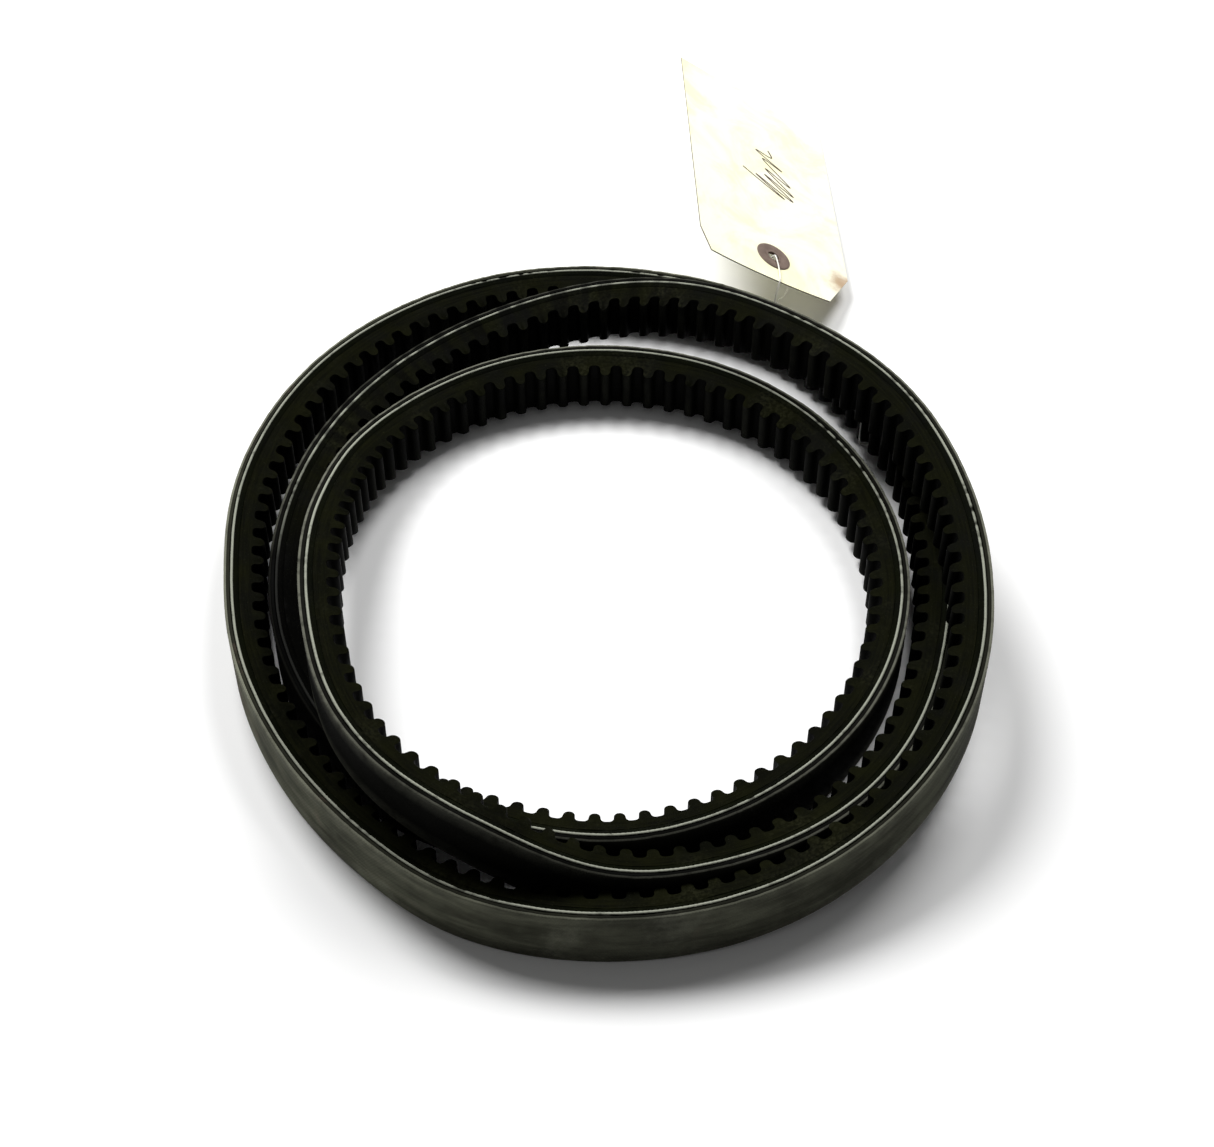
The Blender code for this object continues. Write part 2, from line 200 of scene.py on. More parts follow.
def wander(run, seed, longest, shortest, count=24):
    """Smooth noise along the belt that joins up with itself, mostly from -1 to 1."""
    rng = np.random.default_rng(seed)
    fewest, most = BELT_LENGTH / longest, BELT_LENGTH / shortest
    waves = np.unique(np.geomspace(fewest, most, count).astype(int))
    total = np.zeros_like(run)
    for k in waves:
        total += np.sin(2 * math.pi * k * run / BELT_LENGTH + rng.uniform(0, 2 * math.pi))
    return total / np.sqrt(len(waves) / 2) / 2


def painted_shade_share(run):
    """How much painted shade darkens the strand: most on the second turn's near left.

    The numbers in the ramps are turn angles in degrees.
    """
    angle = angle_at(run)
    # painted shade: near black over this stretch, then broken into dashes further round where the
    # shade thins out
    covered = 0.985 * ramp(angle, 655, 670) * ramp(angle, 748, 722)
    dashes = np.clip(0.5 + 1.6 * wander(run, 61, 0.02, 0.006), 0, 1)
    dashed = 0.75 * dashes * ramp(angle, 735, 750) * ramp(angle, 850, 800)
    return np.clip(np.maximum(covered, dashed), 0, 1)


# ---- meshes ------------------------------------------------------------------------------
def link(mesh, name, materials, sharp=35.0):
    """Puts the mesh in the scene, smooth except at edges of more than sharp degrees."""
    mesh.polygons.foreach_set("use_smooth", np.ones(len(mesh.polygons), bool))
    mesh.set_sharp_from_angle(angle=math.radians(sharp))
    for mat in materials:
        mesh.materials.append(mat)
    obj = bpy.data.objects.new(name, mesh)
    bpy.context.scene.collection.objects.link(obj)
    return obj


def quad_mesh(name, verts, quads, uv=None):
    """A closed mesh of quads, turned to face outwards, with a UV map if uv is given."""
    mesh = bpy.data.meshes.new(name)
    a, b, c, d = (verts[quads[:, i]] for i in range(4))
    volume = sum(np.einsum("ij,ij->i", a, np.cross(p, q)).sum() for p, q in ((b, c), (c, d)))
    if volume < 0:
        quads = quads[:, ::-1]
        uv = None if uv is None else uv[:, ::-1]
    mesh.vertices.add(len(verts))
    mesh.vertices.foreach_set("co", verts.astype(np.float32).ravel())
    mesh.loops.add(quads.size)
    mesh.loops.foreach_set("vertex_index", quads.astype(np.int32).ravel())
    mesh.polygons.add(len(quads))
    mesh.polygons.foreach_set("loop_start", np.arange(0, quads.size, 4, dtype=np.int32))
    mesh.update(calc_edges=True)
    if uv is not None:
        layer = mesh.uv_layers.new(name="Along")
        layer.data.foreach_set("uv", uv.astype(np.float32).ravel())
    return mesh


def ring_quads(rings, around, closed=True):
    """Quads between rings of points: round each ring, and from each to the next."""
    rows = rings if closed else rings - 1
    i, j = np.meshgrid(np.arange(rows), np.arange(around), indexing="ij")
    i2, j2 = (i + 1) % rings, (j + 1) % around
    corners = (i * around + j, i * around + j2, i2 * around + j2, i2 * around + j)
    return np.stack(corners, -1).reshape(-1, 4)


def ring_uv(run, girth):
    """UV corners for closed ring_quads; run and girth hold one value more, where they close."""
    i, j = np.meshgrid(np.arange(len(run) - 1), np.arange(len(girth) - 1), indexing="ij")
    corners = ((i, j), (i, j + 1), (i + 1, j + 1), (i + 1, j))
    return np.stack([np.stack([run[a], girth[b]], -1) for a, b in corners], 2).reshape(-1, 4, 2)


def belt_sweep(name, run, depth, level, materials, wear=None, dust=None):
    """A closed section swept round the belt: depth and level are (stations, points).

    wear, dust and painted shade are stored at each point for the materials; dust also carries
    painted light and shade.
    """
    p, n, z = path_at(angle_at(run))
    xy = p[:, None, :] - n[:, None, :] * depth[..., None]
    verts = np.concatenate([xy, (z[:, None] + level)[..., None]], -1) + np.array(COIL_AXIS)
    count, around = depth.shape
    steps = np.hypot(np.diff(depth[0], append=depth[0, 0]), np.diff(level[0], append=level[0, 0]))
    uv = ring_uv(np.append(run, BELT_LENGTH), np.concatenate([[0], np.cumsum(steps)]))
    mesh = quad_mesh(name, verts.reshape(-1, 3), ring_quads(count, around), uv)
    # painted shade, the same all across the section
    grime = np.repeat(painted_shade_share(run)[:, None], around, 1)
    for label, values in (("wear", wear), ("dust", dust), ("grime", grime)):
        if values is not None:
            layer = mesh.attributes.new(label, "FLOAT", "POINT")
            layer.data.foreach_set("value", values.astype(np.float32).ravel())
    return link(mesh, name, materials)


def rounded(corners, steps):
    """Closed outline through (depth, level, radius) corners, each rounded off."""
    out = []
    for i, (x, y, r) in enumerate(corners):
        here = np.array((x, y))
        before = np.array(corners[i - 1][:2]) - here
        after = np.array(corners[(i + 1) % len(corners)][:2]) - here
        start = here + before / np.linalg.norm(before) * r
        end = here + after / np.linalg.norm(after) * r
        for t in np.linspace(0, 1, steps + 1):
            out.append((1 - t)**2 * start + 2 * t * (1 - t) * here + t**2 * end)
    return np.array(out)


def tube(name, points, radius, sides, mat, closed=False, lobes=0, lobe=0.0, lay=1.0, flat=None):
    """A tube round points, of lobes plies that twist once in every lay of its length.

    A tube with a flat direction is squeezed in that direction.
    """
    pts = np.array([tuple(p) for p in points])
    n = len(pts)
    if closed:
        tangent = np.roll(pts, -1, 0) - np.roll(pts, 1, 0)
    else:
        tangent = np.gradient(pts, axis=0)
    tangent /= np.linalg.norm(tangent, axis=1, keepdims=True)
    u = np.zeros_like(pts)
    first = np.array(flat) if flat is not None else np.array(Vector(tangent[0]).orthogonal())
    for i in range(n):
        w = first if flat is not None or i == 0 else u[i - 1]
        w = w - tangent[i] * (w @ tangent[i])
        u[i] = w / np.linalg.norm(w)
    v = np.cross(tangent, u)
    step = np.linalg.norm(np.diff(pts, axis=0), axis=1)
    run = np.concatenate([[0], np.cumsum(step)])
    turn = 2 * math.pi * np.arange(sides) / sides
    size = np.full((n, sides), radius)
    if lobes:
        twist = 2 * math.pi * run[:, None] / lay
        size *= 1 - lobe + lobe * np.abs(np.cos(lobes / 2 * (turn[None, :] - twist)))
    squeeze = 0.18 if flat is not None else 1.0
    ring = (u[:, None, :] * (size * np.cos(turn))[..., None] * squeeze
            + v[:, None, :] * (size * np.sin(turn))[..., None])
    verts = (pts[:, None, :] + ring).reshape(-1, 3)
    quads = ring_quads(n, sides, closed)
    if not closed:
        tips = np.stack([pts[0], pts[-1]])
        verts = np.concatenate([verts, tips])
        half = np.arange(0, sides, 2)
        a, last = n * sides, (n - 1) * sides
        ends = [(a, (k + 2) % sides, k + 1, k) for k in half]
        ends += [(a + 1, last + k, last + k + 1, last + (k + 2) % sides) for k in half]
        quads = np.concatenate([quads, np.array(ends)])
    return link(quad_mesh(name, verts, quads), name, [mat], sharp=70.0)


# ---- materials ---------------------------------------------------------------------------
def rgba(colour):
    """A socket as it is, or a colour's three numbers with an alpha."""
    return colour if isinstance(colour, bpy.types.NodeSocket) else (*colour, 1.0)


def shade(colour, share):
    return tuple(share * c for c in colour)


class Look:
    """A Principled material with short names for the nodes that it uses."""

    def __init__(self, name, specular, roughness=0.7, sheen=0.0):
        self.mat = bpy.data.materials.new(name)
        self.mat.use_nodes = True
        self.nodes = self.mat.node_tree.nodes
        self.links = self.mat.node_tree.links
        self.bsdf = self.nodes["Principled BSDF"]
        self.bsdf.inputs["Roughness"].default_value = roughness
        self.bsdf.inputs["Specular IOR Level"].default_value = specular
        self.bsdf.inputs["Sheen Weight"].default_value = sheen
        self.place = self.add("ShaderNodeTexCoord").outputs["Object"]

    def add(self, kind, inputs=None, **props):
        node = self.nodes.new(kind)
        for key, value in props.items():
            setattr(node, key, value)
        for key, value in (inputs or {}).items():
            self.put(node.inputs[key], value)
        return node

    def put(self, socket, value):
        if isinstance(value, bpy.types.NodeSocket):
            self.links.new(value, socket)
        else:
            socket.default_value = value

    def along(self, per_run, per_girth):
        """The run along the belt and the girth of its section, scaled."""
        uv = self.add("ShaderNodeUVMap", uv_map="Along").outputs["UV"]
        inputs = {"Vector": uv, "Scale": (per_run, per_girth, 1.0)}
        return self.add("ShaderNodeMapping", inputs).outputs[0]

    def attribute(self, name):
        """A value that belt_sweep stored at each point: wear, dust with its painted light and
        shade, or painted shade.
        """
        return self.add("ShaderNodeAttribute", attribute_name=name).outputs["Fac"]

    def noise(self, scale, detail=4.0, rough=0.6, vector=None, distortion=0.0):
        inputs = {"Vector": vector or self.place, "Scale": scale, "Detail": detail,
                  "Roughness": rough, "Distortion": distortion}
        return self.add("ShaderNodeTexNoise", inputs).outputs["Fac"]

    def bands(self, vector):
        inputs = {"Vector": vector, "Scale": 1.0, "Distortion": 0.6, "Detail": 1.0}
        return self.add("ShaderNodeTexWave", inputs, bands_direction="DIAGONAL").outputs["Fac"]

    def curve(self, value, low_in, high_in, low_out=0.0, high_out=1.0):
        """A smooth step, from low_out at low_in to high_out at high_in."""
        inputs = {"Value": value, "From Min": low_in, "From Max": high_in,
                  "To Min": low_out, "To Max": high_out}
        return self.add("ShaderNodeMapRange", inputs, interpolation_type="SMOOTHSTEP").outputs[0]

    def math(self, operation, a, b):
        node = self.add("ShaderNodeMath", operation=operation)
        self.put(node.inputs[0], a)
        self.put(node.inputs[1], b)
        return node.outputs[0]

    def times(self, a, b):
        return self.math("MULTIPLY", a, b)

    def plus(self, a, b):
        return self.math("ADD", a, b)

    def mix(self, factor, a, b):
        """Colour a, or b where the factor is 1; inputs 6 and 7 are the node's two colours."""
        node = self.add("ShaderNodeMix", data_type="RGBA")
        self.put(node.inputs["Factor"], factor)
        self.put(node.inputs[6], rgba(a))
        self.put(node.inputs[7], rgba(b))
        return node.outputs[2]

    def finish(self, colour, roughness, height, distance, strength):
        """The material with its colour and bump, and its roughness unless that is None."""
        self.put(self.bsdf.inputs["Base Color"], colour)
        if roughness is not None:
            self.put(self.bsdf.inputs["Roughness"], roughness)
        inputs = {"Height": height, "Distance": distance, "Strength": strength}
        bump = self.add("ShaderNodeBump", inputs)
        self.put(self.bsdf.inputs["Normal"], bump.outputs[0])
        return self.mat


def cut_rubber(name, dark, light, dust):
    """Sidewall cut from the cured sleeve: streaked along the cut, with fibre specks."""
    painted_shade_colour, fibre = (0.0007, 0.0007, 0.0005), (0.022, 0.023, 0.013)
    look = Look(name, specular=0.02)
    streak = look.noise(1.0, 5.0, 0.62, look.along(55.0, 1500.0))
    cloud = look.noise(70.0, 5.0, 0.6)
    colour = look.mix(look.curve(look.plus(streak, cloud), 0.75, 1.3), dark, light)
    film = look.times(
        look.curve(look.noise(28.0, 6.0, 0.65), 0.48, 0.78),
        look.curve(look.noise(900.0, 2.0), 0.35, 0.7),
    )
    colour = look.mix(film, colour, dust)
    # painted shade: the cut edge painted near black where the strand lies in shade
    colour = look.mix(look.attribute("grime"), colour, painted_shade_colour)
    specks = look.curve(look.noise(2600.0, 1.0, 0.5), 0.68, 0.76)
    colour = look.mix(look.times(specks, 0.5), colour, fibre)
    height = look.plus(look.times(streak, 0.7), look.noise(1400.0, 3.0, 0.7))
    rough = look.curve(cloud, 0.3, 0.7, 0.58, 0.82)
    return look.finish(colour, rough, height, 0.00018, 0.7)


def moulded_rubber():
    """Inside of the cogs, as the mould left it: near black, dusty on the tips."""
    black, dull, dusty = (0.0006, 0.0006, 0.0005), (0.0022, 0.0023, 0.0017), (0.012, 0.0125, 0.009)
    look = Look("moulded_rubber", specular=0.02)
    cloud = look.noise(120.0, 5.0, 0.6)
    colour = look.mix(cloud, black, dull)
    tips = look.times(
        look.curve(look.attribute("wear"), 0.75, 1.0),
        look.curve(look.noise(60.0, 5.0, 0.7), 0.4, 0.72),
    )
    colour = look.mix(look.times(tips, 0.6), colour, dusty)
    height = look.plus(look.noise(700.0, 3.0, 0.6), cloud)
    return look.finish(colour, look.curve(cloud, 0.3, 0.7, 0.45, 0.68), height, 0.00012, 0.6)


def backing_fabric(name, base, worn, chalk):
    """Rubberised bias-cut fabric: fine crossing threads, scuffed and dusty, painted near black as
    shade where the dust value is low.
    """
    painted_back_shade, painted_shade_colour, between_threads = shade(base, 0.05), shade(base, 0.04), shade(base, 0.35)
    rusty = (0.20, 0.13, 0.105)
    look = Look(name, specular=0.04)
    threads = look.math(
        "MAXIMUM",
        look.bands(look.along(620.0, 430.0)),
        look.bands(look.along(620.0, -430.0)),
    )
    scuff = look.noise(1.0, 6.0, 0.65, look.along(26.0, 190.0), 0.4)
    cloud = look.noise(38.0, 5.0, 0.6)
    colour = look.mix(look.curve(look.plus(scuff, cloud), 0.72, 1.32), base, worn)
    dust = look.attribute("dust")
    # painted shade: where the dust value is low the back is painted near black
    colour = look.mix(dust, painted_back_shade, colour)
    scratch = look.curve(look.noise(1.0, 3.0, 0.6, look.along(120.0, 2600.0)), 0.66, 0.78)
    smear = look.curve(look.noise(17.0, 6.0, 0.7), 0.56, 0.72)
    colour = look.mix(look.times(look.times(scratch, 0.55), dust), colour, chalk)
    colour = look.mix(look.times(look.times(smear, 0.4), dust), colour, chalk)
    rust = look.curve(look.noise(23.0, 5.0, 0.7, distortion=0.8), 0.58, 0.72)
    colour = look.mix(look.times(look.times(rust, 0.35), dust), colour, rusty)
    patchy = look.curve(look.noise(260.0, 4.0), 0.2, 0.6, 0.35, 1.0)
    edge = look.times(look.attribute("wear"), patchy)
    colour = look.mix(look.times(edge, 0.42), colour, chalk)
    # painted shade: the back painted near black where the strand lies in shade
    colour = look.mix(look.attribute("grime"), colour, painted_shade_colour)
    shown = look.times(threads, look.times(dust, 0.22))
    colour = look.mix(shown, colour, between_threads)
    height = look.plus(look.times(threads, -0.5), look.noise(1100.0, 3.0, 0.7))
    return look.finish(colour, look.curve(cloud, 0.3, 0.7, 0.7, 0.92), height, 0.00012, 0.8)


def cord_yarn():
    """Twisted tensile cord cut open at the edge: off-white, smeared with rubber."""
    shadowed, pale = (0.15, 0.158, 0.12), (0.42, 0.435, 0.36)
    smear, bare, painted_shade_colour = (0.035, 0.036, 0.026), (0.012, 0.012, 0.008), (0.004, 0.004, 0.003)
    look = Look("cord_yarn", roughness=0.85, specular=0.2)
    fibre = look.noise(1.0, 3.0, 0.6, look.along(900.0, 5200.0))
    colour = look.mix(fibre, shadowed, pale)
    gum = look.curve(look.noise(150.0, 4.0, 0.7), 0.55, 0.7)
    colour = look.mix(look.times(gum, 0.7), colour, smear)
    colour = look.mix(look.attribute("wear"), colour, bare)
    # painted shade: the cord painted near black where the strand lies in shade
    colour = look.mix(look.attribute("grime"), colour, painted_shade_colour)
    return look.finish(colour, None, fibre, 0.0001, 0.8)


def manila_card(corner_shade_centre):
    """Pale manila card with soft mottling, paper fibres and brown painted shade round its near
    right corner, standing in for that corner curling under.
    """
    pale, yellowed = (0.90, 0.88, 0.71), (0.88, 0.85, 0.54)
    fibre, corner_shade_brown = (0.70, 0.62, 0.45), (0.36, 0.22, 0.12)
    look = Look("manila_card", roughness=0.75, specular=0.25)
    mottle = look.noise(42.0, 5.0, 0.62, distortion=0.6)
    colour = look.mix(look.curve(mottle, 0.42, 0.68), pale, yellowed)
    fibres = look.curve(look.noise(1500.0, 3.0, 0.75), 0.6, 0.75)
    colour = look.mix(look.times(fibres, 0.25), colour, fibre)
    # painted shade: brown round the near right corner, fading out with distance from it
    far = look.add("ShaderNodeVectorMath", operation="DISTANCE")
    look.put(far.inputs[0], look.place)
    look.put(far.inputs[1], tuple(corner_shade_centre))
    ragged = look.plus(far.outputs["Value"], look.times(look.noise(160.0, 5.0), 0.012))
    corner_shade = look.curve(ragged, 0.007, 0.017, 1.0, 0.0)
    colour = look.mix(look.times(corner_shade, 0.85), colour, corner_shade_brown)
    height = look.plus(look.noise(900.0, 4.0, 0.7), look.noise(60.0, 3.0))
    return look.finish(colour, look.curve(mottle, 0.3, 0.7, 0.68, 0.85), height, 0.00006, 0.6)


def card_edge():
    look = Look("card_edge", roughness=0.85, specular=0.2)
    # dark brown edge faces: partly dirt, partly painted shade for the thin shadow along the card's
    # edge
    colour = look.mix(look.noise(500.0, 4.0, 0.7), (0.02, 0.012, 0.008), (0.14, 0.09, 0.05))
    return look.finish(colour, None, look.noise(2500.0, 2.0), 0.00005, 0.8)


def red_fibre():
    """Vulcanised fibre washer: brown, pressed in faint rings, slightly rubbed."""
    brown, lighter, rubbed = (0.115, 0.078, 0.060), (0.175, 0.126, 0.102), (0.21, 0.165, 0.14)
    look = Look("red_fibre", specular=0.3)
    cloud = look.noise(300.0, 5.0, 0.65)
    colour = look.mix(look.curve(cloud, 0.3, 0.7), brown, lighter)
    rub = look.curve(look.noise(1100.0, 4.0, 0.7), 0.52, 0.75)
    colour = look.mix(look.times(rub, 0.5), colour, rubbed)
    rough = look.curve(cloud, 0.3, 0.7, 0.6, 0.8)
    return look.finish(colour, rough, look.noise(1500.0, 4.0, 0.7), 0.00008, 0.8)


def cotton():
    look = Look("cotton_string", roughness=0.9, specular=0.2, sheen=0.3)
    colour = look.mix(look.noise(2200.0, 3.0, 0.7), (0.80, 0.77, 0.70), (0.93, 0.92, 0.88))
    return look.finish(colour, None, look.noise(5200.0, 2.0), 0.0001, 0.8)


def ink():
    look = Look("pen_ink", roughness=0.5, specular=0.3)
    thin = look.curve(look.noise(700.0, 4.0, 0.7), 0.3, 0.6)
    colour = look.mix(thin, (0.02, 0.011, 0.008), (0.07, 0.040, 0.028))
    return look.finish(colour, None, look.noise(3000.0, 2.0), 0.00002, 0.5)


def table_top():
    look = Look("table_top", roughness=0.9, specular=0.15)
    colour = look.mix(look.noise(30.0, 5.0), (0.94, 0.94, 0.94), (0.95, 0.95, 0.945))
    return look.finish(colour, None, look.noise(300.0, 3.0), 0.00003, 0.5)


# ---- belt pieces -------------------------------------------------------------------------
def even_run(count):
    """Stations at even steps along the cord line."""
    return np.arange(count) * BELT_LENGTH / count


def spread(outline, stations):
    """The depths and levels of an outline, repeated at every station."""
    return [np.repeat(outline[None, :, k], stations, 0) for k in (0, 1)]


def dust_and_painted_light(run):
    """How scuffed, dusty and lit the back is painted, by turn angle: dust on outermost turns,
    painted shade on inner turns' backs, and painted light stronger near left than near right.
    """
    angle = angle_at(run)
    # dust on the third turn once it lies outermost, with painted light and shade: lighter toward
    # the near left, darker toward the near right
    third = ramp(angle, 840, 890) * (0.4 + 0.6 * ramp(angle, 930, 1020))
    # painted shade: half the value right in front, which paints the back darker there
    darker_in_front = 1.0 - 0.5 * hump(angle, 985, 16)
    first = ramp(angle, 215, 175)
    return np.clip(np.maximum(third * darker_in_front, first), 0, 1)


def ply(name, outline, worn, fray, seed, mat):
    """One layer of fabric, its cut edges frayed back by up to fray.

    worn holds the wear at each point of the outline.
    """
    run = even_run(BELT_STATIONS)
    depth, level = spread(outline, BELT_STATIONS)
    top = outline[:, 1] > 0.75 * BELT_WIDTH
    foot = outline[:, 1] < 0.25 * BELT_WIDTH
    bite = fray * (0.5 + 0.5 * np.clip(wander(run, seed, 0.09, 0.0026), -1, 1))
    level[:, top] -= bite[:, None]
    level[:, foot] += 0.4 * bite[::-1, None]
    angle = angle_at(run)
    # less worn where the third turn climbs, and least of all on the near side
    climbing = ramp(angle, 740, 760) * ramp(angle, 850, 830)
    near = hump(np.mod(angle, 360), 266, 46)
    wear = ((1.0 - 0.7 * climbing) * (1.0 - 0.85 * near))[:, None] * worn[None, :]
    # dust, with painted light and shade: low values paint the back near black as shade
    dust = np.repeat(dust_and_painted_light(run)[:, None], len(outline), 1)
    return belt_sweep(name, run, depth, level, [mat], wear, dust)


def outer_ply(mat):
    thick, back_round, inner_round = 0.00085, 0.00045, 0.00012
    corners = [(0.0, 0.0, back_round), (0.0, BELT_WIDTH, back_round),
               (thick, BELT_WIDTH, inner_round), (thick, 0.0, inner_round)]
    steps, worn_within = 4, 0.0034
    outline = rounded(corners, steps)
    # points down the back face, so that it can wear unevenly near the edges
    back = [(0.0, x) for x in (0.0016, 0.006, 0.011, 0.016, 0.0204)]
    outline = np.concatenate([outline[:steps + 1], back, outline[steps + 1:]])
    to_edge = np.minimum(outline[:, 1], BELT_WIDTH - outline[:, 1])
    worn = np.clip(1.0 - to_edge / worn_within, 0.0, 1.0) ** 1.3
    return ply("belt_back_outer", outline, worn, 0.00028, 3, mat)


def inner_ply(mat):
    near, far, sunk, less_sunk = 0.00095, 0.0019, 0.0001, 0.00008
    corners = [(near, sunk, 0.0001), (near, BELT_WIDTH - sunk, 0.0001),
               (far, BELT_WIDTH - less_sunk, 0.00012), (far, less_sunk, 0.00012)]
    outline = rounded(corners, 2)
    return ply("belt_back_inner", outline, np.full(len(outline), 0.25), 0.0003, 8, mat)


def gum_layer(mat):
    """Adhesion rubber, grooved at both edges where the cord lies in it."""
    first, last, cord, groove = 0.00195, 0.00478, CORD_DEPTH, 0.00052
    middle, bevel = 0.0039, 0.0001
    upper = np.array([
        (first, high(first)),
        (cord - groove, high(cord)),
        (cord - 0.6 * groove, high(cord) - 0.0006),
        (cord, high(cord) - 0.0008),
        (cord + 0.6 * groove, high(cord) - 0.0006),
        (cord + groove, high(cord)),
        (middle, high(middle)),
        (last - bevel, high(last)),
        (last, high(last) - bevel),
    ])
    lower = np.stack([upper[::-1, 0], BELT_WIDTH - upper[::-1, 1]], -1)
    outline = np.concatenate([upper, lower])
    run = even_run(BELT_STATIONS)
    depth, level = spread(outline, BELT_STATIONS)
    cut = 0.00006 * wander(run, 21, 0.05, 0.003)
    side = np.where(outline[:, 1] > 0.5 * BELT_WIDTH, 1.0, -1.0)
    level += cut[:, None] * side[None, :]
    return belt_sweep("belt_gum", run, depth, level, [mat])


def cord_line(name, upper, mat, sides, step):
    """Three-ply twisted cord lying in the gum's groove, sunk and broken where worn."""
    run = even_run(int(BELT_LENGTH / step))
    radius, plies, lobe, lay = 0.00050, 3, 0.20, 0.0044
    lay = BELT_LENGTH / round(BELT_LENGTH / lay)          # a whole number of twists
    turn = 2 * math.pi * np.arange(sides) / sides
    twist = 2 * math.pi * run[:, None] / lay
    size = radius * (1 - lobe + lobe * np.abs(np.cos(plies / 2 * (turn[None, :] - twist))))
    sunk = np.clip(wander(run, 31 if upper else 32, 0.7, 0.05, 16) * 1.3 - 0.35, 0, 1)
    broken = np.clip(wander(run, 33 if upper else 34, 0.012, 0.0035, 16) * 2.0, 0, 1) * sunk
    size *= (1.0 - 0.25 * broken)[:, None]
    below_cut = 0.00022
    middle = high(CORD_DEPTH) - below_cut - 0.00022 * broken - 0.0001 * sunk
    depth = CORD_DEPTH + size * np.cos(turn) + 0.00005 * wander(run, 35, 0.08, 0.01)[:, None]
    level = middle[:, None] + size * np.sin(turn)
    if not upper:
        level = BELT_WIDTH - level
    wear = np.repeat(np.clip(0.15 * sunk + 0.95 * broken, 0, 1)[:, None], sides, 1)
    return belt_sweep(name, run, depth, level, [mat], wear)


def cog_outline():
    """One pitch of the cog profile: shares of the pitch and of the cog's depth.

    A round tip, short straight flanks and wide filleted roots, in mm on a pitch of
    8.6 mm measured from the middle of the tip.
    """
    pitch, deep = 8.6, COG_DEPTH * 1000
    lean = math.radians(5)
    tip_r, root_r, tip_flat = 1.85, 1.6, 0.12
    points = []
    for a in np.linspace(math.pi / 2, lean, 6):
        points.append((tip_flat + tip_r * math.cos(a), tip_r - tip_r * math.sin(a)))
    root_top = deep - root_r - root_r * math.sin(lean)
    flank = (root_top - points[-1][1]) * math.tan(lean)
    centre = points[-1][0] + flank + root_r * math.cos(lean)
    for a in np.linspace(-lean, math.pi / 2, 5):
        points.append((centre - root_r * math.cos(a), deep - root_r + root_r * math.sin(a)))
    half = [(x / pitch, 1 - y / deep) for x, y in points]
    return [(0.5 - x, y) for x, y in reversed(half)] + [(0.5 + x, y) for x, y in half]


def cog_layer(cut, moulded):
    outline = np.array(cog_outline())
    per = len(outline)
    rng = np.random.default_rng(5)
    shift = rng.normal(0, 0.00006, COGS)
    short = rng.uniform(0, 0.00012, COGS)
    pitch = BELT_LENGTH / COGS
    starts = np.arange(COGS)[:, None] * pitch
    run = (starts + outline[None, :, 0] * pitch + shift[:, None]).ravel()
    tall = np.tile(outline[:, 1], COGS)
    tip = BELT_THICKNESS - COG_DEPTH * (1 - tall) - np.repeat(short, per) * tall
    bevel, back_bevel = 0.00016, 0.0001
    back = 0.00486
    cut_at = (back + back_bevel, 0.0062, 0.0075, 0.0086)
    ones = np.ones_like(tip)
    columns = [(back * ones, high(back) * ones - back_bevel)]
    columns += [(m * ones, high(m) * ones) for m in cut_at]
    columns += [(tip - bevel, high(tip - bevel)), (tip, high(tip) - bevel)]
    columns += [(tip, high(tip) * (1 - f) + low(tip) * f) for f in (0.25, 0.5, 0.75)]
    columns += [(tip, low(tip) + bevel), (tip - bevel, low(tip - bevel))]
    columns += [(m * ones, low(m) * ones) for m in reversed(cut_at)]
    columns += [(back * ones, low(back) * ones + back_bevel)]
    depth = np.stack([c[0] for c in columns], -1)
    level = np.stack([c[1] for c in columns], -1)
    # the knife's cut is not quite flat
    ripple = 0.00007
    for k in range(1, len(cut_at) + 1):
        level[:, k] += ripple * wander(run, 40 + k, 0.06, 0.004)
        level[:, -1 - k] += ripple * wander(run, 50 + k, 0.06, 0.004)
    around = len(columns)
    wear = np.repeat(tall[:, None], around, 1)
    obj = belt_sweep("belt_cogs", run, depth, level, [cut, moulded], wear)
    # the faces from the upper bevel to the lower one were moulded, the others were cut
    first = len(cut_at) + 1
    column = np.tile(np.arange(around), len(run))
    inside = (column >= first) & (column < around - 1 - first)
    obj.data.polygons.foreach_set("material_index", inside.astype(np.int32))
    return obj


# ---- tag pieces --------------------------------------------------------------------------
def tag_matrix():
    x = TAG_ACROSS.normalized()
    y = (TAG_ALONG - x * TAG_ALONG.dot(x)).normalized()
    m = Matrix((x, y, x.cross(y))).transposed().to_4x4()
    m.translation = TAG_HOLE_AT + COIL_AXIS
    return m


TAG_MATRIX = tag_matrix()
TAG_UP = TAG_MATRIX.to_3x3() @ Vector((0, 0, 1))


def tag_point(u, v, w):
    """A point u across, v along and w above the curled card, from the hole's centre."""
    rise = TAG_CURL * (abs(u) / (TAG_WIDTH / 2)) ** TAG_CURL_POWER
    return TAG_MATRIX @ Vector((u, v, w + rise))


